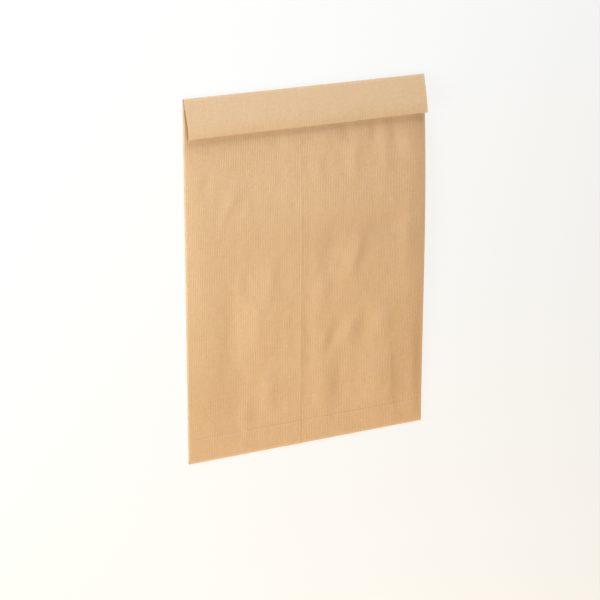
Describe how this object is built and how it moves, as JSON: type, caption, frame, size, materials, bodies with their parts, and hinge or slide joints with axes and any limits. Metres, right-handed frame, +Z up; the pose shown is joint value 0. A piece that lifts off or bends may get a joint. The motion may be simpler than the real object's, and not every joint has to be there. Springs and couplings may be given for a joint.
{
  "type": "x-ray envelope",
  "caption": "Large kraft paper envelope for x-ray film, lying seam side up, with a centre seam, a glued bottom flap and a closing flap folded over the mouth.",
  "frame": {"origin": "on the table, under the middle of the folded envelope's outline", "axes": "+X across the width, to the right when the seam side is seen with the closing flap at the top; +Y along the length, towards the closing flap; +Z up, out of the seam side"},
  "size_m": [0.31, 0.41, 0.0109],
  "materials": {
    "kraft_paper": "Light brown machine-glazed kraft with fine ribs along its length, matt with a faint sheen."
  },
  "bodies": {
    "root": {"envelope": "kraft_paper"}
  },
  "joints": []
}
